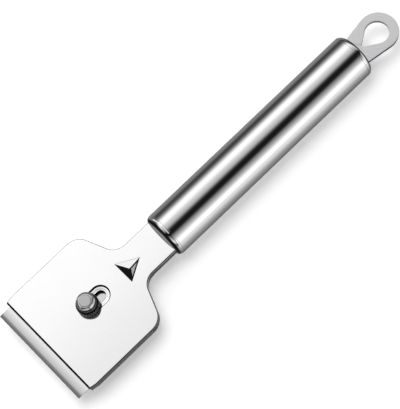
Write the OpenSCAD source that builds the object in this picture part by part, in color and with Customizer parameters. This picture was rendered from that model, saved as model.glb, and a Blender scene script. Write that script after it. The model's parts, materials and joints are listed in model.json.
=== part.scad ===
// Razor blade scraper: a layered steel head with a sliding, knob-clamped blade on a tubular handle.
// +X runs from the cutting edge to the hanging eye, +Z is the side of the knob. The origin lies under
// the middle of the tool, level with the lowest line of the handle.

/* [Blade] */
// Length of the cutting edge
blade_l = 47.1; // [36:0.1:60]
// Width of the blade from cutting edge to back
blade_w = 21.9; // [18:0.1:28]
// Thickness of the blade
blade_t = 0.3; // [0.2:0.05:0.6]
// Width of the ground bevel
bevel_w = 1.85; // [1:0.05:3]
// Flat left at the very edge of the bevel
edge_land = 0.03; // [0.02:0.01:0.1]
// Number of holes in a row along the blade
holes = 3; // [1:1:3]
// Radius of the blade's holes
blade_hole_r = 2.8; // [2:0.1:3.5]
// Distance between neighbouring holes
hole_pitch = 14.05; // [10:0.05:16]
// Length of blade that stands out of the head
blade_show = 5.3; // [3:0.1:6]

/* [Head] */
// Thickness of the front plate
plate_t = 1.5; // [1:0.1:2.5]
// Thickness of the back cover
cover_t = 1.2; // [0.8:0.1:2]
// Thickness of the cover's upturned side rims
rim_t = 1.2; // [0.8:0.1:2]
// Radius of the head's rounded shoulders
corner_r = 7; // [4:0.5:10]
// Length of the sloping shoulders along the tool
shoulder_len = 6.7; // [4:0.1:9]
// Radius of the hollow between shoulder and neck
neck_r = 6.5; // [3:0.5:8]
// Length of the neck from the shoulders to the handle
neck_len = 17; // [14:0.5:30]
// How far the neck's edges lie inside the handle's outline
neck_step = 1.85; // [1:0.05:4]
// Height of the front plate's face above the handle's axis
plate_rise = 2.4; // [1.5:0.1:3.5]
// Bevel along the front lip
lip_bevel = 0.7; // [0.3:0.1:0.9]
// Length over which the head's front corners narrow
nose_len = 3.5; // [2:0.5:6]
// How much each front corner narrows
nose_in = 0.6; // [0.2:0.1:1]
// How far the back cover's front edge lies behind the lip
cover_back = 0.5; // [0.2:0.1:2]
// How far the neck's back is set up from the head's back
neck_relief = 0.6; // [0.2:0.1:0.6]

/* [Direction mark] */
// Length of the pressed triangle along the tool
mark_len = 9.2; // [5:0.05:10]
// Width of the pressed triangle
mark_w = 10.6; // [5:0.1:11]
// Distance of the triangle's base in front of the neck's corner
mark_back = 3.95; // [2:0.05:5]
// Distance of the triangle's deepest point from its base
mark_apex = 3.1; // [1:0.1:4]
// Metal left under the triangle's deepest point
mark_floor = 0.3; // [0.2:0.1:0.8]

/* [Slide and clamp] */
// Travel of the blade
travel = 6.1; // [4:0.1:7]
// Thickness of the blade carrier
carrier_t = 1.3; // [0.8:0.1:2]
// How far the carrier's front edge lies behind the lip
carrier_back = 0.8; // [0.4:0.1:2]
// Width of the carrier's tail
tail_w = 24; // [14:0.5:40]
// Carrier metal behind the threaded boss
tail_wall = 1.1; // [0.6:0.1:3]
// Radius of the threaded boss
boss_r = 3.5; // [3:0.1:4.5]
// Carrier metal between the blade's back and the boss
boss_gap = 2.1; // [1:0.1:5]
// Radius of the stud's thread
stud_r = 1.95; // [1.5:0.05:2.4]
// Thread pitch of the stud
thread_pitch = 0.7; // [0.5:0.05:1]
// Flat on each thread crest
crest_w = 0.14; // [0.05:0.01:0.3]
// Depth of the stud's thread
thread_depth = 0.35; // [0.2:0.05:0.5]
// Half width of the slot beyond the stud
slot_gap = 0.3; // [0.2:0.05:0.6]
// Half width of the recess round the slot
recess_r = 4.1; // [3.5:0.1:4.4]
// Metal left under the recess round the slot
recess_floor = 0.5; // [0.3:0.1:0.8]
// Radius of the knob's knurled grip
grip_r = 4.65; // [4.5:0.05:8]
// Height of the knob's knurled grip
grip_h = 3.9; // [2:0.1:6]
// Number of knurl ridges
ridges = 40; // [20:2:60]
// Depth of the knurl
ridge_d = 0.3; // [0.1:0.05:0.5]
// Radius of the knob's smooth upper boss
hub_r = 3.75; // [3.4:0.05:4.5]
// Height of the knob's smooth upper boss
hub_h = 3.2; // [1:0.1:5]
// Chamfer on the grip's upper edge
knob_bevel = 0.6; // [0.2:0.1:0.6]
// Chamfer on the upper edge of the knob's boss
hub_bevel = 0.9; // [0.2:0.1:0.9]
// Radius of the stud's plain end inside the knob
stud_head_r = 2.35; // [2:0.05:2.5]

/* [Handle] */
// Outer diameter of the handle
tube_d = 20; // [18:0.5:26]
// Wall of the handle tube
tube_wall = 1; // [0.6:0.1:1.5]
// Length of the handle tube
tube_len = 103.7; // [70:0.1:160]
// Length of the front end piece that shows
front_cap_len = 2.6; // [1.5:0.1:6]
// Length of the rear end piece that shows
rear_cap_len = 2.6; // [1.5:0.1:6]
// Rounding of both end pieces
cap_round = 2.4; // [1:0.1:3]
// Length of each end piece inside the tube
plug_len = 9; // [5:0.5:15]
// How much narrower than the neck its tang is on each side
tang_step = 2.15; // [1:0.05:4]

/* [Hanging eye] */
// Thickness of the eye
eye_t = 1.5; // [1:0.1:2.5]
// Radius of the eye's round opening
eye_hole_r = 5.05; // [3.5:0.05:6]
// Metal round the opening
eye_wall = 3.5; // [2:0.1:5]
// How far the opening is set towards the handle inside its ring
eye_shift = 0.6; // [0:0.1:1.2]
// Half angle of the opening's point
eye_angle = 34; // [28:1:45]
// Rounding of the opening's point
eye_tip_r = 0.9; // [0.5:0.1:1.5]
// Metal between the opening's point and the handle
eye_land = 3.8; // [1.5:0.1:6]
// How far the eye's foot lies inside the handle's outline
eye_step = 3.4; // [2.5:0.1:5]
// Height of the eye's middle above the handle's axis
eye_rise = 0.6; // [0:0.1:2]

/* [Clearances] */
// Gap above and below the carrier and the blade in their pocket
slide_gap = 0.1; // [0.05:0.05:0.2]
// Gap at each side of the blade in its pocket
side_gap = 0.35; // [0.2:0.05:0.6]
// Gap between the carrier and its rear stop at full travel
stop_gap = 0.4; // [0.2:0.1:1]
// Radial running gap of the thread and of the knob on its stud
run_gap = 0.05; // [0.02:0.01:0.1]
// Gap of the pressed boss and pins in the carrier
press_gap = 0.02; // [0.01:0.01:0.05]
// Gap round the locating pins in the blade
pin_gap = 0.1; // [0.05:0.05:0.2]
// Gap of the tang, the eye's foot and the plugs in their seats
seat_gap = 0.05; // [0.02:0.01:0.1]
// Gap under the knob when it is tight
knob_gap = 0.05; // [0.02:0.01:0.1]

/* [Hidden] */
$fn = 96;
// Depth by which a cut runs past the face it opens
cut = 1;
// Degrees between neighbouring points of an arc
arc_step = 5;

// Widths across the tool
pocket_w = blade_l + 2 * side_gap;
head_w = pocket_w + 2 * rim_t;
neck_w = tube_d - 2 * neck_step;
tang_w = neck_w - 2 * tang_step;
foot_w = tube_d - 2 * eye_step;

// Shoulder slope: its angle from the tool's axis, and how far each rounding reaches along the straights
slope = atan2((head_w - neck_w) / 2, shoulder_len);
corner_reach = corner_r * tan(slope / 2);
neck_reach = neck_r * tan(slope / 2);

// Opening of the eye: distance from its centre to the rounding of its point, and to the point itself
tip_back = (eye_hole_r - eye_tip_r) / sin(eye_angle);
point_back = tip_back + eye_tip_r;
eye_r = eye_hole_r + eye_wall;

// Places along the tool, counted from the cutting edge
lip_at = blade_show;
screw_at = blade_w + boss_gap + boss_r;
tail_at = screw_at + boss_r + tail_wall;
stop_at = tail_at + travel + stop_gap;
shoulder_at = stop_at + corner_reach;
neck_at = shoulder_at + shoulder_len;
handle_at = neck_at + neck_len;
tube_at = handle_at + front_cap_len;
rear_at = tube_at + tube_len;
foot_at = rear_at + rear_cap_len;
hole_at = foot_at + eye_land + point_back;
ring_at = hole_at + eye_shift;
overall = ring_at + eye_r;
edge_x = -overall / 2;

// Heights
axis_z = tube_d / 2;
eye_z = axis_z + eye_rise;
plate_top = axis_z + plate_rise;
plate_bot = plate_top - plate_t;
carrier_top = plate_bot - slide_gap;
carrier_bot = carrier_top - carrier_t;
blade_bot = carrier_bot - blade_t;
pocket_bot = blade_bot - slide_gap;
cover_bot = pocket_bot - cover_t;
neck_bot = cover_bot + neck_relief;
knob_bot = plate_top + knob_gap;
grip_top = knob_bot + grip_h;
knob_top = grip_top + hub_h;

// Round parts
thread_r = stud_r + run_gap;
slot_r = stud_r + slot_gap;
pin_r = blade_hole_r - pin_gap;
plug_r = tube_d / 2 - tube_wall - seat_gap;

// Colours
polished = [0.90, 0.90, 0.91];
brushed = [0.78, 0.78, 0.80];
satin = [0.70, 0.70, 0.71];
dark_steel = [0.45, 0.45, 0.47];
ground = [0.62, 0.63, 0.65];

// Points of an arc from one angle to another
function arc(centre, r, from, to) =
    let (n = max(2, ceil(abs(to - from) / arc_step)))
    [for (i = [0:n]) let (a = from + (to - from) * i / n) centre + r * [cos(a), sin(a)]];

function mirrored(points) = [for (i = [len(points) - 1:-1:0]) [points[i].x, -points[i].y]];

// Slot with round ends along X, from one end's centre to the other's
function slot_outline(from, to, r) = concat(arc([to, 0], r, -90, 90), arc([from, 0], r, 90, 270));

// One side of the head, from its front edge over the shoulder and along the neck to the end of the tang
function head_side(front) = concat(
    [[front, head_w / 2 - nose_in], [front + nose_len, head_w / 2]],
    arc([stop_at, head_w / 2 - corner_r], corner_r, 90, 90 - slope),
    arc([neck_at + neck_reach, neck_w / 2 + neck_r], neck_r, 270 - slope, 270),
    [[tube_at, neck_w / 2], [tube_at, tang_w / 2], [tube_at + plug_len, tang_w / 2]]);

module head_outline(front) {
    side = head_side(front);
    polygon(concat(side, mirrored(side)));
}

// Puts a flat outline, drawn in places from the cutting edge, between two heights
module slab(bottom, top) {
    translate([edge_x, 0, bottom]) linear_extrude(top - bottom) children();
}

// Half-space block behind a place along the tool
module behind(place, bottom, top) {
    slab(bottom, top) translate([place, -head_w]) square([overall, 2 * head_w]);
}

module at_screw(z) {
    translate([edge_x + screw_at, 0, z]) children();
}

module front_plate() {
    color(polished) difference() {
        slab(plate_bot, plate_top) head_outline(lip_at);
        slab(plate_bot - cut, plate_top + cut) polygon(slot_outline(screw_at, screw_at + travel, slot_r));
        slab(plate_bot + recess_floor, plate_top + cut)
            polygon(slot_outline(screw_at, screw_at + travel, recess_r));
        lip_cut();
        mark_cut();
    }
}

// Bevel along the top of the front lip
module lip_cut() {
    translate([edge_x + lip_at, head_w, plate_top]) rotate([90, 0, 0]) linear_extrude(2 * head_w)
        polygon([[-cut, cut], [-cut, -lip_bevel - cut], [lip_bevel + cut, cut]]);
}

// Pressed three-sided dent that points to the handle, drawn on past the plate's face
module mark_cut() {
    depth = plate_t - mark_floor;
    grow = (depth + cut) / depth;
    base = neck_at - mark_back;
    apex = [base + mark_apex, 0];
    rim = [[base, -mark_w / 2], [base + mark_len, 0], [base, mark_w / 2]];
    raised = [for (p = rim) let (q = apex + grow * (p - apex)) [q.x, q.y, cut]];
    translate([edge_x, 0, plate_top])
        polyhedron(concat(raised, [[apex.x, apex.y, -depth]]), [[2, 1, 0], [0, 1, 3], [1, 2, 3], [2, 0, 3]]);
}

module back_cover() {
    color(brushed) difference() {
        slab(cover_bot, plate_bot) head_outline(lip_at + cover_back);
        behind(stop_at, pocket_bot, plate_bot + cut);
        behind(neck_at + neck_reach, cover_bot - cut, neck_bot);
        slab(pocket_bot, plate_bot + cut) translate([0, -pocket_w / 2]) square([overall, pocket_w]);
    }
}

module neck_spacer() {
    color(brushed) intersection() {
        slab(pocket_bot, plate_bot) head_outline(lip_at);
        behind(stop_at, pocket_bot, plate_bot);
    }
}

module blade_carrier() {
    front = lip_at + carrier_back;
    color(brushed) difference() {
        slab(carrier_bot, carrier_top) union() {
            translate([front, -blade_l / 2]) square([blade_w - front, blade_l]);
            translate([front, -tail_w / 2]) square([tail_at - front, tail_w]);
        }
        at_screw(carrier_bot - cut) cylinder(r = boss_r + press_gap, h = carrier_t + 2 * cut);
        at_holes(carrier_bot - cut) cylinder(r = pin_r + press_gap, h = carrier_t + 2 * cut);
    }
}

// Places of the blade's holes
module at_holes(z) {
    for (i = [0:holes - 1])
        translate([edge_x + blade_w / 2, (i - (holes - 1) / 2) * hole_pitch, z]) children();
}

module thread_boss() {
    length = carrier_top - blade_bot;
    color(dark_steel) at_screw(blade_bot) difference() {
        cylinder(r = boss_r, h = length);
        translate([0, 0, -cut]) cylinder(r = thread_r, h = length + 2 * cut);
    }
}

module locating_pins() {
    color(dark_steel) at_holes(blade_bot) cylinder(r = pin_r, h = carrier_t + blade_t);
}

module blade() {
    color(ground) difference() {
        translate([edge_x, blade_l / 2, blade_bot]) rotate([90, 0, 0]) linear_extrude(blade_l)
            polygon([[0, 0], [blade_w, 0], [blade_w, blade_t], [bevel_w, blade_t], [0, edge_land]]);
        at_holes(blade_bot - cut) cylinder(r = blade_hole_r, h = blade_t + 2 * cut);
    }
}

// Knurled grip with pointed ridges
module grip_outline() {
    polygon([for (i = [0:2 * ridges - 1])
        let (a = 180 * i / ridges, r = grip_r - ridge_d * (i % 2)) r * [cos(a), sin(a)]]);
}

module knob() {
    bore_r = stud_head_r + run_gap;
    slant_r = grip_r - knob_bevel + grip_h;
    color(dark_steel) at_screw(knob_bot) difference() {
        union() {
            intersection() {
                linear_extrude(grip_h) grip_outline();
                cylinder(r1 = slant_r, r2 = slant_r - grip_h, h = grip_h);
            }
            cylinder(r = hub_r, h = grip_h + hub_h - hub_bevel);
            translate([0, 0, grip_h + hub_h - hub_bevel])
                cylinder(r1 = hub_r, r2 = hub_r - hub_bevel, h = hub_bevel);
        }
        translate([0, 0, -cut]) cylinder(r = bore_r, h = grip_h + hub_h + 2 * cut);
    }
}

// Stud from its point upwards: thread grooves as rings, then a plain end that fills the knob
module clamp_screw() {
    thread_len = knob_bot - blade_bot;
    turns = floor(thread_len / thread_pitch);
    root_r = stud_r - thread_depth;
    crest = [for (i = [0:turns - 1]) each [
        [root_r, i * thread_pitch],
        [stud_r, (i + 0.5) * thread_pitch - crest_w / 2],
        [stud_r, (i + 0.5) * thread_pitch + crest_w / 2]]];
    color(satin) at_screw(blade_bot) rotate_extrude() polygon(concat(
        [[0, 0]], crest,
        [[root_r, turns * thread_pitch], [root_r, thread_len]],
        [[stud_head_r, thread_len], [stud_head_r, knob_top - blade_bot], [0, knob_top - blade_bot]]));
}

// Turns a shape drawn along Z so that it runs along the handle's axis from a place
module along_handle(place) {
    translate([edge_x + place, 0, axis_z]) rotate([0, 90, 0]) children();
}

module handle_tube() {
    color(brushed) along_handle(tube_at) difference() {
        cylinder(d = tube_d, h = tube_len);
        translate([0, 0, -cut]) cylinder(r = tube_d / 2 - tube_wall, h = tube_len + 2 * cut);
    }
}

// End piece along Z: a disc with its outer edge rounded, and a plug behind it
module end_piece(length) {
    r = tube_d / 2;
    round_r = min(cap_round, length - seat_gap);
    rotate_extrude() {
        polygon(concat([[0, 0], [r - round_r, 0]], arc([r - round_r, round_r], round_r, -90, 0),
                       [[r, length], [0, length]]));
        translate([0, length]) square([plug_r, plug_len]);
    }
}

module front_cap() {
    color(brushed) difference() {
        along_handle(handle_at) end_piece(front_cap_len);
        tang_seat(handle_at - cut, tube_at, neck_w);
        tang_seat(tube_at - cut, tube_at + plug_len + cut, tang_w);
    }
}

// Seat for the layered neck or its tang
module tang_seat(from, to, width) {
    slab(neck_bot - seat_gap, plate_top + seat_gap)
        translate([from, -width / 2 - seat_gap]) square([to - from, width + 2 * seat_gap]);
}

module rear_cap() {
    color(brushed) difference() {
        along_handle(foot_at) mirror([0, 0, 1]) end_piece(rear_cap_len);
        slab(eye_z - eye_t / 2 - seat_gap, eye_z + eye_t / 2 + seat_gap)
            translate([rear_at - plug_len - cut, -foot_w / 2 - seat_gap])
            square([foot_at - rear_at + plug_len + 2 * cut, foot_w + 2 * seat_gap]);
    }
}

// Outline of the eye: the foot, and straight flanks that run onto the ring
module eye_outline() {
    foot = [foot_at - ring_at, foot_w / 2];
    touch = atan2(foot.y, foot.x) - acos(eye_r / norm(foot));
    flank = eye_r * [cos(touch), sin(touch)];
    translate([ring_at, 0]) polygon(concat(
        arc([0, 0], eye_r, -touch, touch),
        [foot, [foot.x - rear_cap_len - plug_len, foot.y]],
        [[foot.x - rear_cap_len - plug_len, -foot.y], [foot.x, -foot.y]]));
}

// Teardrop opening whose point looks at the handle
module eye_opening() {
    side = 90 - eye_angle;
    translate([hole_at, 0]) polygon(concat(
        arc([0, 0], eye_hole_r, side - 180, 180 - side),
        arc([-tip_back, 0], eye_tip_r, 180 - side, 180 + side)));
}

module hanging_loop() {
    color(satin) slab(eye_z - eye_t / 2, eye_z + eye_t / 2) difference() {
        eye_outline();
        eye_opening();
    }
}

front_plate();
back_cover();
neck_spacer();
blade_carrier();
thread_boss();
locating_pins();
blade();
knob();
clamp_screw();
handle_tube();
front_cap();
rear_cap();
hanging_loop();
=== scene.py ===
"""Looks of the razor blade scraper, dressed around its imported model."""

import json
import math

import bmesh
import bpy
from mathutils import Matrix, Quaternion, Vector


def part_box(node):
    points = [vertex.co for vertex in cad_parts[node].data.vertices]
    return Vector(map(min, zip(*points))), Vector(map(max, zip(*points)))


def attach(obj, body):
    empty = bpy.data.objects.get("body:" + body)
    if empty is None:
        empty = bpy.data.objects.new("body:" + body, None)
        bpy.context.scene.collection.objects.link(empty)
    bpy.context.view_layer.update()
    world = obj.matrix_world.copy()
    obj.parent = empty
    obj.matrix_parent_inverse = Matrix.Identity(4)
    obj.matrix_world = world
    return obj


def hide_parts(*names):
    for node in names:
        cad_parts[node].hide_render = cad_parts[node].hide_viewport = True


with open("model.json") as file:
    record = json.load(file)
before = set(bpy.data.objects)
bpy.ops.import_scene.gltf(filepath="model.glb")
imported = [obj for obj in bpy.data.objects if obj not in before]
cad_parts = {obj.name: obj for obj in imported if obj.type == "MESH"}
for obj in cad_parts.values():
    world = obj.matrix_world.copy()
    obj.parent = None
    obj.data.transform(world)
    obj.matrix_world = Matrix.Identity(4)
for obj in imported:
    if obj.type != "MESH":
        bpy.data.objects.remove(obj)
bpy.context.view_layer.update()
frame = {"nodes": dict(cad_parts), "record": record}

MM = 0.001

# Camera, fitted to the outline of the photographed tool
CAMERA_TARGET = Vector((-11.449, -0.636, 10.0)) * MM
CAMERA_AZIMUTH = math.radians(-23.671)
CAMERA_ELEVATION = math.radians(68.709)
CAMERA_ROLL = math.radians(-21.452)
CAMERA_DISTANCE = 636.96 * MM
CAMERA_LENS = 141.37
SENSOR_HEIGHT = 36.0

# Room: half size of the floor, its diffuse colour and the part of its white that needs no light
FLOOR_HALF = 4.0
FLOOR_COLOUR = (0.76, 0.76, 0.76, 1)
FLOOR_GLOW = 0.365

# Soft lamp high on the far side of the tool
LAMP_DIRECTION = Vector((0.0, 0.12, 1.0))
LAMP_DISTANCE = 1.2
LAMP_SIZE = 0.6
LAMP_POWER = 6.8

# Brightness of the studio round the tool, by angle in degrees from straight up towards the viewer's side
STUDIO_BANDS = [
    (-90, 0.07), (-76, 0.07), (-66, 0.20), (-56, 0.62), (-47, 1.20), (-40, 1.40), (-30, 1.35), (-20, 1.07),
    (-18, 0.93), (-4, 0.66), (2, 0.48), (8, 0.19), (13, 0.05), (19, 0.008), (32, 0.008), (37, 0.05),
    (42, 0.18), (60, 0.68), (73, 1.40), (90, 1.40),
]
STUDIO_DARK = 0.004
# The studio dims towards both ends of the tool: the X of a direction at which that starts and ends
STUDIO_BLADE_END = (-0.30, -0.48)
STUDIO_EYE_END = (0.40, 0.62)
STUDIO_END_LEVEL = 0.7
# A strip before the blade's end is bright overhead and shaded on the viewer's side: the X over which it
# starts, the angles in degrees between its two parts, and the share of brightness left in the shade
STRIP_START = (-0.04, -0.14)
STRIP_SIDE = (20, 28)
STRIP_SHADE = 0.35

# Glowing cards beside the tool that show only in its steel: painted reflections of a grey tabletop, with a
# painted shadow next to the tool on the near side. Brightness by distance from the middle in mm
CARD_HEIGHT = 0.3 * MM
CARD_LENGTH = 4000 * MM
CARD_FAR = [(12, 0.40), (30, 0.30), (90, 0.22), (400, 0.10), (4000, 0.07)]
CARD_NEAR = [(10, 0.12), (16, 0.22), (24, 0.42), (37, 0.75), (70, 1.0), (400, 1.2), (4000, 1.3)]
# The near card's painted reflection darkens towards the blade as painted shade: X in mm at both ends of
# that, and the share of brightness there
CARD_FADE_ENDS = (-62, -34)
CARD_FADE_LEVELS = (0.2, 1.0)

# Place of the cutting edge in the frame, in metres. The sizes below are in mm, with places along the tool
# counted from that edge
EDGE_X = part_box("blade")[0].x


def size_box(node):
    """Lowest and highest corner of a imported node, in mm and with X counted from the cutting edge."""
    edge = Vector((EDGE_X, 0, 0))
    low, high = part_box(node)
    return (low - edge) / MM, (high - edge) / MM


PLATE_LOW, PLATE_HIGH = size_box("front_plate")
TUBE_LOW, TUBE_HIGH = size_box("handle_tube")
KNOB_LOW, KNOB_HIGH = size_box("knob")
LOOP_HIGH = size_box("hanging_loop")[1]
JOINTS = {joint["name"]: joint for joint in frame["record"]["behaviour"]["joints"]}
TRAVEL = JOINTS["carriage_slide"]["range_m"][1] / MM

# Roundings of sharp edges, of the blade's edges and of the front plate's rim
EDGE_ROUND = 0.12
BLADE_ROUND = 0.02
RIM_ROUND = 0.25
# Bends at which a rounding has a ring of points
ROUND_BENDS = [math.radians(angle) for angle in (0, 30, 60, 90)]
# Flat strip inside the plate's rim, which keeps the wide face beside it even
RIM_LAND = 0.25

# Handle tube with the steps of its mesh along and around, and how far each cap keeps the tube's bright steel
# before its end is painted near black
TUBE_R = TUBE_HIGH.y
TUBE_WALL = 1.0
TUBE_ROUND = 0.22
TUBE_RINGS = 12
TUBE_AROUND = 160
CAP_RIM = 1.6

# Outline of the head: from its lip over the nose to the sides, then over the shoulders, which start at the
# front of the neck spacer, to the neck and the tang inside the front cap
LIP = PLATE_LOW.x
LIP_BEVEL = 0.7
NOSE_LEN = 3.5
NOSE_IN = 0.6
HEAD_HALF = PLATE_HIGH.y
STOP = size_box("neck_spacer")[0].x
CORNER_R = 7.0
SHOULDER_LEN = 6.7
HOLLOW_R = 6.5
NECK_STEP = 1.85
TANG_STEP = 2.15
NECK_HALF = TUBE_R - NECK_STEP
TANG_HALF = NECK_HALF - TANG_STEP
SLOPE = math.atan2(HEAD_HALF - NECK_HALF, SHOULDER_LEN)
NECK = STOP + CORNER_R * math.tan(SLOPE / 2) + SHOULDER_LEN

# Heights of the front plate
PLATE_TOP = PLATE_HIGH.z
PLATE_BOTTOM = PLATE_LOW.z

# Recess with a rounded rim and a leaning wall, and the shallow coined step round the slot in its floor
RECESS_R = 4.1
RECESS_DEPTH = 1.0
RECESS_ROUND = 0.15
RECESS_DRAFT = 0.4
SLOT_R = 2.25
COIN_OUT = 0.75
COIN_IN = 0.55
COIN_DEPTH = 0.06

# Pressed triangle: its base before the neck, the way from there to its tip and to its deepest point, half
# its width, its depth, and the shares of the way inward where its rim ends and where a grey field starts
# inside a border painted near black, both painted shade
MARK_BACK = 3.95
MARK_BASE = NECK - MARK_BACK
MARK_LEN = 9.2
MARK_APEX = 3.1
MARK_HALF = 5.3
MARK_DEPTH = 1.2
MARK_RIM = 0.08
MARK_FIELD = (0.42, 0.42, 0.45)

# Knob: knurled grip, smooth hub and bore
SCREW = (KNOB_LOW.x + KNOB_HIGH.x) / 2
KNOB_HEIGHT = KNOB_HIGH.z - KNOB_LOW.z
GRIP_R = KNOB_HIGH.y
GRIP_H = 3.9
GRIP_BEVEL = 0.6
HUB_R = 3.75
BORE_R = 2.4
BORE_BEVEL = 0.2
# Rims of the grip below and of the hub above, as steps in from the side and off the end
GRIP_RIM = [(0.45, 0), (0.2, 0.15)]
HUB_RIM = [(0, 0.9), (0.05, 0.83), (0.6, 0.26), (0.72, 0.16), (0.85, 0.07), (1.0, 0)]
# Steps of the hub's side that get the knurl's material, with its painted shade
HUB_SIDE_STEPS = 2

# Diamond knurl: diamonds around, height of one, depth, how flat its points are, the heights it covers, and
# the rows of its mesh and the steps of its mesh to each diamond
KNURLS = 28
KNURL_PITCH = 1.04
KNURL_DEPTH = 0.30
KNURL_FLAT = 1.4
KNURL_LOW = 0.45
KNURL_HIGH = GRIP_H - GRIP_BEVEL
KNURL_ROWS = 26
KNURL_STEPS = 8

# Middle of the hanging eye's round end
EYE = LOOP_HIGH.x - LOOP_HIGH.y


def make_camera():
    direction = Vector((
        math.sin(CAMERA_AZIMUTH) * math.cos(CAMERA_ELEVATION),
        -math.cos(CAMERA_AZIMUTH) * math.cos(CAMERA_ELEVATION),
        math.sin(CAMERA_ELEVATION),
    ))
    data = bpy.data.cameras.new("camera")
    data.sensor_fit = "VERTICAL"
    data.sensor_height = SENSOR_HEIGHT
    data.lens = CAMERA_LENS
    camera = bpy.data.objects.new("camera", data)
    camera.rotation_mode = "QUATERNION"
    camera.rotation_quaternion = direction.to_track_quat("Z", "Y") @ Quaternion((0, 0, 1), CAMERA_ROLL)
    camera.location = CAMERA_TARGET + direction * CAMERA_DISTANCE
    bpy.context.scene.collection.objects.link(camera)
    bpy.context.scene.camera = camera


class Nodes:
    """Short way to add and join the nodes of one tree."""

    def __init__(self, owner):
        owner.use_nodes = True
        self.tree = owner.node_tree
        self.tree.nodes.clear()

    def add(self, kind, **settings):
        node = self.tree.nodes.new(kind)
        for key, value in settings.items():
            setattr(node, key, value)
        return node

    def join(self, source, target):
        self.tree.links.new(source, target)

    def feed(self, target, value):
        if isinstance(value, bpy.types.NodeSocket):
            self.join(value, target)
        else:
            target.default_value = value

    def surface(self, output, kind="ShaderNodeOutputMaterial"):
        self.join(output, self.add(kind).inputs["Surface"])

    def where(self, coordinates="Object"):
        return self.add("ShaderNodeTexCoord").outputs[coordinates]

    def axes(self, vector):
        """X, Y and Z of a vector."""
        node = self.add("ShaderNodeSeparateXYZ")
        self.join(vector, node.inputs[0])
        return [node.outputs[name] for name in "XYZ"]

    def math(self, operation, *values):
        node = self.add("ShaderNodeMath", operation=operation)
        for socket, value in zip(node.inputs, values):
            self.feed(socket, value)
        return node.outputs[0]

    def span(self, value, low, high, to_low, to_high, smooth=False):
        """Carries one range of a value over to another, and stops at both ends."""
        node = self.add("ShaderNodeMapRange")
        if smooth:
            node.interpolation_type = "SMOOTHSTEP"
        for name, number in zip(("From Min", "From Max", "To Min", "To Max"), (low, high, to_low, to_high)):
            node.inputs[name].default_value = number
        self.join(value, node.inputs["Value"])
        return node.outputs["Result"]

    def ramp(self, value, stops, unit=MM):
        """Grey by a value, between stops of (spot, level) whose spots are in the unit."""
        node = self.add("ShaderNodeValToRGB")
        elements = node.color_ramp.elements
        while len(elements) < len(stops):
            elements.new(1)
        low, high = stops[0][0], stops[-1][0]
        for element, (spot, level) in zip(elements, stops):
            element.position = (spot - low) / (high - low)
            element.color = (level, level, level, 1)
        self.join(self.span(value, low * unit, high * unit, 0, 1), node.inputs["Fac"])
        return node.outputs["Color"]

    def noise(self, where, stretch, detail=2.0):
        """Grain of a given fineness along X, Y and Z, in lumps to the metre."""
        scaled = self.add("ShaderNodeVectorMath", operation="MULTIPLY")
        self.join(where, scaled.inputs[0])
        scaled.inputs[1].default_value = stretch
        node = self.add("ShaderNodeTexNoise")
        node.inputs["Scale"].default_value = 1.0
        node.inputs["Detail"].default_value = detail
        self.join(scaled.outputs[0], node.inputs["Vector"])
        return node.outputs["Fac"]

    def radius(self, where, middle):
        """Distance from an upright line at a place along the tool."""
        x, y, _ = self.axes(where)
        x = self.math("SUBTRACT", x, EDGE_X + middle * MM)
        squares = [self.math("MULTIPLY", side, side) for side in (x, y)]
        return self.math("SQRT", self.math("ADD", *squares))


def flat_object(name, half_length, near, far, height, material):
    """A level rectangle that belongs to the studio and not to the tool."""
    mesh = bpy.data.meshes.new(name)
    corners = [(-half_length, near), (half_length, near), (half_length, far), (-half_length, far)]
    mesh.from_pydata([(x, y, height) for x, y in corners], [], [(0, 1, 2, 3)])
    mesh.materials.append(material)
    piece = bpy.data.objects.new(name, mesh)
    bpy.context.scene.collection.objects.link(piece)
    return piece


def make_floor():
    material = bpy.data.materials.new("floor")
    n = Nodes(material)
    path = n.add("ShaderNodeLightPath")
    seen = n.math("MAXIMUM", path.outputs["Is Camera Ray"], path.outputs["Is Glossy Ray"])
    seen = n.math("MAXIMUM", seen, path.outputs["Is Transmission Ray"])
    diffuse = n.add("ShaderNodeBsdfDiffuse")
    diffuse.inputs["Color"].default_value = FLOOR_COLOUR
    glow = n.add("ShaderNodeEmission")
    n.join(n.math("MULTIPLY", seen, FLOOR_GLOW), glow.inputs["Strength"])
    both = n.add("ShaderNodeAddShader")
    n.join(diffuse.outputs[0], both.inputs[0])
    n.join(glow.outputs[0], both.inputs[1])
    n.surface(both.outputs[0])
    flat_object("floor", FLOOR_HALF, -FLOOR_HALF, FLOOR_HALF, 0, material)


def make_painted_reflection(name, side, levels, fades=False):
    """A glowing card on the floor at one side of the tool, seen in reflections alone: a painted reflection.
    """
    material = bpy.data.materials.new(name)
    n = Nodes(material)
    x, y, _ = n.axes(n.where())
    glow = n.add("ShaderNodeEmission")
    n.join(n.ramp(n.math("ABSOLUTE", y), levels), glow.inputs["Color"])
    if fades:
        ends = [end * MM for end in CARD_FADE_ENDS]
        n.join(n.span(x, *ends, *CARD_FADE_LEVELS, smooth=True), glow.inputs["Strength"])
    n.surface(glow.outputs[0])
    near, far = levels[0][0] * MM, levels[-1][0] * MM
    card = flat_object(name, CARD_LENGTH / 2, side * near, side * far, CARD_HEIGHT, material)
    for ray in ("camera", "diffuse", "transmission", "volume_scatter", "shadow"):
        setattr(card, "visible_" + ray, False)


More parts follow.
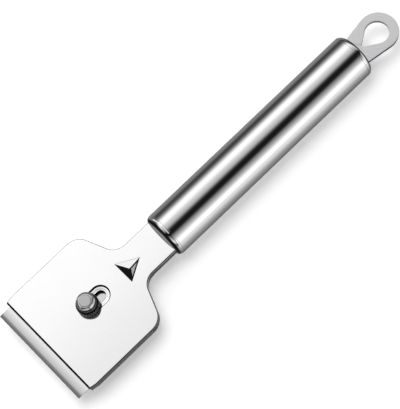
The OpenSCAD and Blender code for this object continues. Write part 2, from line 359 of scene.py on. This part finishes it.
def make_studio():
    world = bpy.data.worlds.new("studio")
    bpy.context.scene.world = world
    n = Nodes(world)
    x, y, z = n.axes(n.where("Generated"))
    angle = n.math("ARCTAN2", n.math("MULTIPLY", y, -1.0), z)
    bands = n.ramp(angle, STUDIO_BANDS, unit=math.radians(1))
    strip_start = n.span(x, *STRIP_START, 0, 1, smooth=True)
    strip = n.math("MULTIPLY", strip_start, n.span(x, *STUDIO_BLADE_END, 1, 0, smooth=True))
    near_side = n.span(angle, *[math.radians(side) for side in STRIP_SIDE], 0, 1, smooth=True)
    shade = n.math("MULTIPLY", strip, near_side)
    bright = n.math("MAXIMUM", bands, n.math("SUBTRACT", strip, shade))
    level = n.math("MULTIPLY", bright, n.span(shade, 0, 1, 1, STRIP_SHADE))
    blade_end = n.span(x, *STUDIO_BLADE_END, 1, STUDIO_END_LEVEL, smooth=True)
    eye_end = n.span(x, *STUDIO_EYE_END, 1, STUDIO_END_LEVEL, smooth=True)
    level = n.math("MULTIPLY", level, n.math("MULTIPLY", blade_end, eye_end))
    background = n.add("ShaderNodeBackground")
    n.join(n.math("ADD", level, STUDIO_DARK), background.inputs["Color"])
    n.surface(background.outputs[0], kind="ShaderNodeOutputWorld")


def make_lamp():
    data = bpy.data.lights.new("soft_lamp", "AREA")
    data.size = LAMP_SIZE
    data.energy = LAMP_POWER
    lamp = bpy.data.objects.new("soft_lamp", data)
    lamp.location = CAMERA_TARGET + LAMP_DIRECTION.normalized() * LAMP_DISTANCE
    lamp.rotation_mode = "QUATERNION"
    lamp.rotation_quaternion = LAMP_DIRECTION.to_track_quat("Z", "Y")
    lamp.visible_glossy = False
    bpy.context.scene.collection.objects.link(lamp)


# Range of grain and smudges together, what they do to the roughness, the height of raised grain, and the
# detail of smudges and grinding rings
GRAIN_RANGE = (0.6, 1.4)
ROUGHNESS_RANGE = (0.75, 1.25)
GRAIN_HEIGHT = 0.02 * MM
FINE_DETAIL = 3.0


def steel_colour(n, share, colour, spread):
    """A colour that varies a little by a share from 0 to 1."""
    tone = n.add("ShaderNodeMix", data_type="RGBA")
    n.join(share, tone.inputs["Factor"])
    tone.inputs["A"].default_value = (*[c * (1 - spread) for c in colour], 1)
    tone.inputs["B"].default_value = (*[min(1, c * (1 + spread)) for c in colour], 1)
    return tone.outputs["Result"]


def shaded_colour(n, colour, shade):
    product = n.add("ShaderNodeMix", data_type="RGBA", blend_type="MULTIPLY")
    product.inputs["Factor"].default_value = 1
    n.join(colour, product.inputs["A"])
    n.join(shade, product.inputs["B"])
    return product.outputs["Result"]


def steel(name, colour, roughness, grain, smudge, depth=0.0, shade=None, spread=0.05, glance=1.0):
    """Bare steel with fine grain and faint smudges in its colour and gloss.

    Grain and smudge give their lumps to the metre along X, Y and Z. Depth raises the grain, shade darkens
    the colour by place, spread is how far the colour varies, and glance tints reflections at flat angles.
    """
    material = bpy.data.materials.new(name)
    n = Nodes(material)
    where = n.where()
    lines = n.noise(where, grain)
    clouds = n.noise(where, smudge, detail=FINE_DETAIL)
    share = n.span(n.math("ADD", lines, clouds), *GRAIN_RANGE, 0, 1)
    tone = steel_colour(n, share, colour, spread)
    if shade:
        tone = shaded_colour(n, tone, shade(n, where))
    shader = n.add("ShaderNodeBsdfPrincipled")
    shader.inputs["Metallic"].default_value = 1
    shader.inputs["Specular Tint"].default_value = (glance, glance, glance, 1)
    n.join(tone, shader.inputs["Base Color"])
    limits = [roughness * limit for limit in ROUGHNESS_RANGE]
    n.join(n.span(share, 0, 1, *limits), shader.inputs["Roughness"])
    if depth:
        bump = n.add("ShaderNodeBump")
        bump.inputs["Strength"].default_value = depth
        bump.inputs["Distance"].default_value = GRAIN_HEIGHT
        n.join(lines, bump.inputs["Height"])
        n.join(bump.outputs["Normal"], shader.inputs["Normal"])
    n.surface(shader.outputs[0])
    return material


def cut_steel(name, colour, glance=1.0):
    """The rough steel of a cut or rolled edge. In a near-black colour it paints shade."""
    return steel(name, colour, 0.3, (2500, 2500, 200), (200, 200, 200), depth=0.3, glance=glance)


# Tone of the blade by distance from its cutting edge, over the ground bevel and then the sheet up to the
# lip: painted shade along the edge and over the bevel, and a painted highlight band on the sheet
BLADE_TONES_AND_PAINTED_LIGHT = [
    (0.0, 0.17), (0.55, 0.15), (1.3, 0.25), (1.8, 0.50), (2.8, 0.61), (3.8, 0.70), (5.3, 0.86), (8.0, 0.70),
]
# Tone of the knob's side by radius: the smooth hub darkened as painted shade, then the knurl's grooves
# painted near black as shade and its points bright, partly wear and partly painted glints
KNURL_TONES_AND_SHADE = [
    (HUB_R - 0.6, 0.52), (HUB_R - 0.35, 0.42), (HUB_R - 0.1, 0.30), (HUB_R + 0.05, 0.22),
    (HUB_R + 0.2, 0.006), (GRIP_R - 0.10, 0.008), (GRIP_R - 0.04, 0.25), (GRIP_R, 1.0),
]
# Grinding rings round the eye: lumps to the metre, range of the noise, and the tones it gives
RING_FINENESS = 2200.0
RING_NOISE = (0.3, 0.7)
RING_TONES = (0.90, 1.0)


# Painted shade and highlight across the blade, by distance from its cutting edge
def blade_tone_and_painted_light(n, where):
    x, _, _ = n.axes(where)
    return n.ramp(n.math("SUBTRACT", x, EDGE_X), BLADE_TONES_AND_PAINTED_LIGHT)


def knurl_tone_and_shade(n, where):
    return n.ramp(n.radius(where, SCREW), KNURL_TONES_AND_SHADE)


def ring_tone(n, where):
    rings = n.add("ShaderNodeTexNoise", noise_dimensions="1D")
    rings.inputs["Scale"].default_value = 1.0
    rings.inputs["Detail"].default_value = FINE_DETAIL
    n.join(n.math("MULTIPLY", n.radius(where, EYE), RING_FINENESS), rings.inputs["W"])
    return n.span(rings.outputs["Fac"], *RING_NOISE, *RING_TONES)


STEELS = {
    "polished_steel": steel("polished_steel_finish", (0.88, 0.88, 0.885), 0.05, (300, 2500, 2500),
                            (60, 60, 60), spread=0.02),
    "brushed_steel": steel("brushed_steel_finish", (0.74, 0.74, 0.75), 0.07, (40, 3000, 3000),
                           (50, 90, 90)),
    "plain_steel": steel("plain_steel_finish", (0.66, 0.66, 0.67), 0.18, (2500, 300, 2500), (80, 80, 80)),
    "satin_steel": steel("satin_steel_finish", (0.64, 0.64, 0.65), 0.35, (900, 900, 900), (300, 300, 300),
                         shade=ring_tone),
    # The blade's colour carries painted shade and a painted highlight
    "blade_steel": steel("blade_steel_finish", (1.0, 1.0, 1.0), 0.22, (150, 4000, 4000), (90, 60, 90),
                         shade=blade_tone_and_painted_light),
    "knob_steel": steel("knob_steel_finish", (0.52, 0.52, 0.53), 0.16, (1500, 1500, 6000),
                        (200, 200, 200)),
    "screw_steel": steel("screw_steel_finish", (0.45, 0.45, 0.46), 0.22, (1500, 1500, 6000),
                         (200, 200, 200)),
}
# Near-black steel that paints shade and dark reflections on the front plate's rims, walls and creases
PAINTED_SHADE_RIM = cut_steel("edge_painted_shade", (0.010, 0.010, 0.0104), glance=0.2)
SHEET_EDGE = cut_steel("sheet_edge_finish", (0.85, 0.85, 0.855))
# Dark rough steel for cut walls: a rough cut edge, darkened further as painted shade
CUT_EDGE_AND_SHADE = cut_steel("cut_edge_and_painted_shade", (0.11, 0.11, 0.113))
# Near-black steel on the caps' ends: a painted dark reflection
PAINTED_SHADE_CAP_END = steel("cap_end_painted_shade", (0.03, 0.03, 0.031), 0.2, (2500, 900, 900), (200, 200, 200), depth=0.2,
                glance=0.5)
# Rougher pressed steel in a grey that paints shade in the mark and on the recess's coined step
DENT_PAINTED_SHADE = steel("dent_painted_shade", (0.46, 0.46, 0.465), 0.35, (900, 900, 900), (300, 300, 300))
# The knurl's steel, toned by radius: painted shade on the hub and in the grooves, and bright points that are
# partly wear and partly painted glints
KNURL_AND_SHADE = steel("knurl_wear_and_painted_shade", (1.0, 1.0, 1.0), 0.25, (2000, 2000, 2000), (300, 300, 300), shade=knurl_tone_and_shade)

# Places of the front plate's finishes among its material slots: its own steel, then the ones added to it.
# The second paints near-black shade and the third grey shade
POLISHED, PAINTED_DARK, SHADED_DENT, SHEET = range(4)

NODE_SLOT = {part["node"]: part["material_slot"] for part in frame["record"]["subparts"]}
NODE_BODY = {node: body for body, nodes in frame["record"]["behaviour"]["bodies"].items() for node in nodes}

# Distance in metres at which points are welded, and the angles of faces that count as flat, sharp and smooth
WELD = 1e-6
FLAT_ANGLE = math.radians(0.2)
SHARP_ANGLE = math.radians(28)
SMOOTH_ANGLE = math.radians(40)
# Upward part of a face's normal below which the face is a wall
WALL_LEAN = 0.5


def place(mesh, node, extra=()):
    """Puts a finished mesh in its node's place, with the node's body and finish."""
    for material in (STEELS[NODE_SLOT[node]], *extra):
        mesh.materials.append(material)
    piece = bpy.data.objects.new(node + "_look", mesh)
    bpy.context.scene.collection.objects.link(piece)
    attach(piece, NODE_BODY[node])
    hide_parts(node)
    normals = piece.modifiers.new("flat_faces_stay_flat", "WEIGHTED_NORMAL")
    normals.keep_sharp = True


def to_mesh(work, name, creases=()):
    """Turns the work into a mesh that is smooth but for its steep edges and the named creases."""
    work.normal_update()
    for face in work.faces:
        face.smooth = True
    for edge in work.edges:
        edge.smooth = edge not in creases and edge.calc_face_angle(0) < SMOOTH_ANGLE
    mesh = bpy.data.meshes.new(name)
    work.to_mesh(mesh)
    work.free()
    return mesh


def node_shape(node):
    """A working copy of a node's own shape, in one skin."""
    work = bmesh.new()
    work.from_mesh(frame["nodes"][node].data)
    bmesh.ops.remove_doubles(work, verts=work.verts, dist=WELD)
    return work


def cap_copy(node, cut, outward):
    """An end cap with the node's own shape, painted near black past a cut on the side that points outward
    along X: a painted dark reflection.
    """
    work = node_shape(node)
    plane = EDGE_X + cut * MM
    everything = [*work.verts, *work.edges, *work.faces]
    bmesh.ops.bisect_plane(work, geom=everything, dist=WELD, plane_co=(plane, 0, 0), plane_no=(1, 0, 0))
    for face in work.faces:
        face.material_index = int((face.calc_center_median().x - plane) * outward > 0)
    place(to_mesh(work, node), node, [PAINTED_SHADE_CAP_END])


def bevelled_copy(node, wall_finish=None, width=EDGE_ROUND):
    """A piece with the node's own shape, rounded sharp edges and, where given, a finish for its walls."""
    work = node_shape(node)
    bmesh.ops.dissolve_limit(work, angle_limit=FLAT_ANGLE, verts=work.verts, edges=work.edges)
    work.normal_update()
    for face in work.faces:
        face.material_index = int(wall_finish is not None and abs(face.normal.z) < WALL_LEAN)
    sharp = [e for e in work.edges if len(e.link_faces) == 2 and e.calc_face_angle(0) > SHARP_ANGLE]
    bmesh.ops.bevel(work, geom=sharp, offset=width * MM, segments=2, profile=0.5, affect="EDGES",
                    clamp_overlap=True, material=-1)
    bmesh.ops.remove_doubles(work, verts=work.verts, dist=WELD)
    bmesh.ops.dissolve_degenerate(work, dist=WELD, edges=work.edges)
    bmesh.ops.triangulate(work, faces=[f for f in work.faces if len(f.verts) > 4])
    place(to_mesh(work, node), node, [wall_finish] if wall_finish else [])


def arc(centre, radius, start, end, step=4.0):
    """Points of an arc, by angles in degrees."""
    count = max(2, math.ceil(abs(end - start) / step))
    turns = [math.radians(start + (end - start) * i / count) for i in range(count + 1)]
    return [Vector((centre[0] + radius * math.cos(t), centre[1] + radius * math.sin(t))) for t in turns]


def inset(points, distances):
    """A closed left-turning outline moved inwards, by one distance for each edge that starts at a point."""
    straight = 1e-4
    moved = []
    count = len(points)
    for i, point in enumerate(points):
        before = (point - points[i - 1]).normalized()
        after = (points[(i + 1) % count] - point).normalized()
        turn = before.cross(after)
        if abs(turn) < straight:
            moved.append(point + Vector((-after.y, after.x)) * distances[i])
        else:
            moved.append(point + (after * distances[i - 1] - before * distances[i]) / turn)
    return moved


class Skin:
    """Collects rings of points and joins them into one closed mesh."""

    def __init__(self):
        self.work = bmesh.new()

    def ring(self, points, heights):
        levels = heights if isinstance(heights, list) else [heights] * len(points)
        return [self.work.verts.new((EDGE_X + p.x * MM, p.y * MM, z * MM)) for p, z in zip(points, levels)]

    def face(self, corners, finish):
        face = self.work.faces.new(corners)
        face.material_index = finish
        return face

    def wall(self, lower, upper, finish):
        """Faces between two rings, with fewer corners where the rings share a point."""
        count = len(lower)
        for i in range(count):
            j = (i + 1) % count
            corners = list(dict.fromkeys([lower[i], lower[j], upper[j], upper[i]]))
            if len(corners) > 2:
                self.face(corners, finish)

    def fill(self, *rings):
        """The flat face inside the first ring and outside the others."""
        edges = []
        for ring in rings:
            for i, vert in enumerate(ring):
                pair = (vert, ring[(i + 1) % len(ring)])
                edges.append(self.work.edges.get(pair) or self.work.edges.new(pair))
        bmesh.ops.triangle_fill(self.work, edges=edges, use_beauty=True)

    def done(self, name, creases):
        unused = [v for v in self.work.verts if not v.link_faces]
        bmesh.ops.delete(self.work, geom=unused, context="VERTS")
        bmesh.ops.recalc_face_normals(self.work, faces=self.work.faces)
        return to_mesh(self.work, name, creases)


def head_outline():
    """Front plate's outline, left-turning. Its first and last points are the ends of the lip."""
    slope = math.degrees(SLOPE)
    reach = HOLLOW_R * math.tan(SLOPE / 2)
    nose = HEAD_HALF - NOSE_IN
    side = [Vector((LIP, nose)), Vector((LIP + LIP_BEVEL, nose + NOSE_IN * LIP_BEVEL / NOSE_LEN))]
    side.append(Vector((LIP + NOSE_LEN, HEAD_HALF)))
    side += arc((STOP, HEAD_HALF - CORNER_R), CORNER_R, 90, 90 - slope)
    side += arc((NECK + reach, NECK_HALF + HOLLOW_R), HOLLOW_R, 270 - slope, 270)
    tube = TUBE_LOW.x
    side += [Vector((tube, NECK_HALF)), Vector((tube, TANG_HALF)), Vector((PLATE_HIGH.x, TANG_HALF))]
    other = [Vector((p.x, -p.y)) for p in side]
    return other + side[::-1]


def rim_ring(skin, outline, bend):
    """One ring up the plate's rounded rim. The top one steps back behind the lip's bevel."""
    steps = [RIM_ROUND * (1 - math.cos(bend))] * len(outline)
    steps[-1] = LIP_BEVEL if bend == ROUND_BENDS[-1] else 0.0
    heights = [PLATE_TOP - RIM_ROUND * (1 - math.sin(bend))] * len(outline)
    heights[0] = heights[-1] = PLATE_TOP - LIP_BEVEL
    return skin.ring(inset(outline, steps), heights)


def land_ring(skin, outline):
    """The inner ring of the flat strip along the rim, which also runs behind the lip's bevel."""
    spots = inset(outline, [RIM_ROUND + RIM_LAND] * len(outline))
    for spot in (spots[1], spots[-2]):
        spot.x += RIM_LAND
    return skin.ring(spots, PLATE_TOP)


def make_rim(skin):
    """Wall, rounded rim and lip of the front plate, with the rim and lip painted near black as shade. Gives
    its lowest ring and the one round its top face.
    """
    outline = head_outline()
    bends = [rim_ring(skin, outline, bend) for bend in ROUND_BENDS]
    for ring in bends[1:-1]:
        ring[0], ring[-1] = bends[0][0], bends[0][-1]
    flats = [bends[-1], land_ring(skin, outline)]
    for ring in flats:
        ring[0], ring[-1] = ring[1], ring[-2]
    bottom = skin.ring(outline, PLATE_BOTTOM)
    skin.wall(bottom, bends[0], SHEET)
    for first, second in zip(bends, bends[1:]):
        skin.wall(first, second, PAINTED_DARK)
    skin.wall(*flats, POLISHED)
    return bottom, flats[-1][1:-1]


def slot_outline(radius):
    return arc((SCREW + TRAVEL, 0), radius, -90, 90) + arc((SCREW, 0), radius, 90, 270)


def make_recess(skin):
    """Recess and slot of the front plate, with painted shade: rim, wall and slot near black and the coined
    step grey. Gives their highest and their lowest ring.
    """
    floor = PLATE_TOP - RECESS_DEPTH
    coin = floor - COIN_DEPTH
    steps = [
        (RECESS_R + RECESS_ROUND, PLATE_TOP),
        (RECESS_R, PLATE_TOP - RECESS_ROUND),
        (RECESS_R - RECESS_DRAFT, floor),
        (SLOT_R + COIN_OUT, floor),
        (SLOT_R + COIN_IN, coin),
        (SLOT_R + EDGE_ROUND, coin),
        (SLOT_R, coin - EDGE_ROUND),
        (SLOT_R, PLATE_BOTTOM),
    ]
    # Painted shade: near black on the rim, wall and slot, grey on the coined step
    finishes = (PAINTED_DARK, PAINTED_DARK, POLISHED, SHADED_DENT, POLISHED, POLISHED, PAINTED_DARK)
    rings = [skin.ring(slot_outline(radius), height) for radius, height in steps]
    for first, second, finish in zip(rings, rings[1:], finishes):
        skin.wall(first, second, finish)
    return rings[0], rings[-1]


def make_mark_field(skin, facet):
    """A grey field inside one facet of the mark, framed by a near-black border: painted shade."""
    corners = [vert.co.copy() for vert in facet]
    middle = sum(corners, Vector()) / len(corners)
    field = [skin.work.verts.new(corner.lerp(middle, share)) for corner, share in zip(corners, MARK_FIELD)]
    skin.wall(facet, field, PAINTED_DARK)
    skin.face(field, SHADED_DENT)


def make_mark(skin):
    """The pressed triangle: a rim about half as steep as the facets, and three facets down to its apex. Two
    rim sides and the base facet are painted near black and the near facet is a grey field in a near-black
    border, as painted shade.
    """
    tip = Vector((MARK_BASE + MARK_LEN, 0))
    rim = [Vector((MARK_BASE, -MARK_HALF)), tip, Vector((MARK_BASE, MARK_HALF))]
    deepest = Vector((MARK_BASE + MARK_APEX, 0))
    outer = skin.ring(rim, PLATE_TOP)
    inner = skin.ring([spot.lerp(deepest, MARK_RIM) for spot in rim], PLATE_TOP - MARK_DEPTH * MARK_RIM / 2)
    apex = skin.ring([deepest], PLATE_TOP - MARK_DEPTH)[0]
    sides = [(i, (i + 1) % len(rim)) for i in range(len(rim))]
    # Painted shade: two rim sides and the base facet near black
    for (i, j), finish in zip(sides, (PAINTED_DARK, POLISHED, PAINTED_DARK)):
        skin.face([outer[i], outer[j], inner[j], inner[i]], finish)
    near, far, base = [[inner[i], inner[j], apex] for i, j in sides]
    creases = set(skin.face(far, POLISHED).edges)
    creases.update(skin.face(base, PAINTED_DARK).edges)
    make_mark_field(skin, near)
    for vert in outer:
        creases.update(vert.link_edges)
    return outer, creases


def make_front_plate():
    skin = Skin()
    bottom, top = make_rim(skin)
    recess, slot = make_recess(skin)
    mark, creases = make_mark(skin)
    skin.fill(top, recess, mark)
    skin.fill(bottom, slot)
    place(skin.done("front_plate", creases), "front_plate", [PAINTED_SHADE_RIM, DENT_PAINTED_SHADE, SHEET_EDGE])


def turned_spot(axis, radius, turn, height):
    across, up = radius * math.cos(turn), radius * math.sin(turn)
    return Vector((across, up, height) if axis == "Z" else (height, across, up))


def turned(profile, around, centre, axis="Z", shape=None, second_finish=0):
    """A closed turned body of rings, given as (radius, height).

    Shape changes a radius by angle and height. The first steps, as many as second_finish, get that finish.
    """
    work = bmesh.new()
    turns = [2 * math.pi * i / around for i in range(around)]
    rings = []
    for radius, height in profile:
        radii = [shape(radius, turn, height) if shape else radius for turn in turns]
        spots = [turned_spot(axis, r, turn, height) for r, turn in zip(radii, turns)]
        rings.append([work.verts.new(centre + spot * MM) for spot in spots])
    for step, (first, second) in enumerate(zip(rings, rings[1:] + rings[:1])):
        for i in range(around):
            j = (i + 1) % around
            face = work.faces.new([first[i], first[j], second[j], second[i]])
            face.material_index = int(step < second_finish)
    bmesh.ops.recalc_face_normals(work, faces=work.faces)
    return work


def knurl(radius, turn, height):
    """Diamond knurl between two crossing sets of grooves."""
    slack = 0.01
    if not KNURL_LOW - slack <= height <= KNURL_HIGH + slack or radius < GRIP_R - slack:
        return radius
    along = height / KNURL_PITCH
    across = turn * KNURLS / (2 * math.pi)
    peaks = [1 - abs(2 * (v % 1) - 1) for v in (across + along, across - along)]
    return radius - KNURL_DEPTH * (1 - min(1, KNURL_FLAT * min(peaks)))


def make_knob():
    rows = [KNURL_LOW + (KNURL_HIGH - KNURL_LOW) * i / KNURL_ROWS for i in range(KNURL_ROWS + 1)]
    grip = [(BORE_R + BORE_BEVEL, 0)] + [(GRIP_R - inward, up) for inward, up in GRIP_RIM]
    grip += [(GRIP_R, height) for height in rows]
    grip += [(GRIP_R - GRIP_BEVEL, GRIP_H), (HUB_R + EDGE_ROUND, GRIP_H)]
    hub = [(HUB_R, GRIP_H + EDGE_ROUND)]
    hub += [(HUB_R - inward, KNOB_HEIGHT - down) for inward, down in HUB_RIM]
    bore = [(BORE_R + EDGE_ROUND, KNOB_HEIGHT), (BORE_R, KNOB_HEIGHT - EDGE_ROUND), (BORE_R, BORE_BEVEL)]
    centre = Vector((EDGE_X + SCREW * MM, 0, KNOB_LOW.z * MM))
    # The grip and the hub's side get the knurl's material with its painted shade
    work = turned(grip + hub + bore, KNURLS * KNURL_STEPS, centre, shape=knurl,
                  second_finish=len(grip) + HUB_SIDE_STEPS)
    place(to_mesh(work, "knob"), "knob", [KNURL_AND_SHADE])


def make_tube():
    length = TUBE_HIGH.x - TUBE_LOW.x
    inner = TUBE_R - TUBE_WALL
    rounding = [(1 - math.sin(bend), 1 - math.cos(bend)) for bend in ROUND_BENDS]
    front = [(TUBE_R - TUBE_ROUND * inward, TUBE_ROUND * along) for inward, along in rounding]
    back = [(radius, length - along) for radius, along in front[::-1]]
    straight = length - 2 * TUBE_ROUND
    steps = [(TUBE_R, TUBE_ROUND + straight * i / TUBE_RINGS) for i in range(1, TUBE_RINGS)]
    profile = [(inner, length), (inner, 0)] + front + steps + back
    axis_z = (TUBE_LOW.z + TUBE_HIGH.z) / 2
    centre = Vector((EDGE_X + TUBE_LOW.x * MM, 0, axis_z * MM))
    work = turned(profile, TUBE_AROUND, centre, axis="X")
    place(to_mesh(work, "handle_tube"), "handle_tube")


bpy.context.scene.view_settings.view_transform = "Standard"
make_camera()
make_floor()
# Painted reflections of the tabletop beside the tool, with a painted shadow on the near side
make_painted_reflection("far_painted_reflection", 1, CARD_FAR)
make_painted_reflection("near_painted_reflection", -1, CARD_NEAR, fades=True)
make_studio()
make_lamp()
make_front_plate()
make_knob()
make_tube()
# Their walls get the dark cut-edge steel, partly a rough cut edge and partly painted shade
for node in ("neck_spacer", "blade_carrier", "hanging_loop"):
    bevelled_copy(node, CUT_EDGE_AND_SHADE)
bevelled_copy("back_cover", SHEET_EDGE)
bevelled_copy("blade", CUT_EDGE_AND_SHADE, width=BLADE_ROUND)
# The caps' ends are painted near black as a dark reflection
cap_copy("front_cap", TUBE_LOW.x - CAP_RIM, -1)
cap_copy("rear_cap", TUBE_HIGH.x + CAP_RIM, 1)
for node in ("thread_boss", "locating_pins", "clamp_screw"):
    bevelled_copy(node)
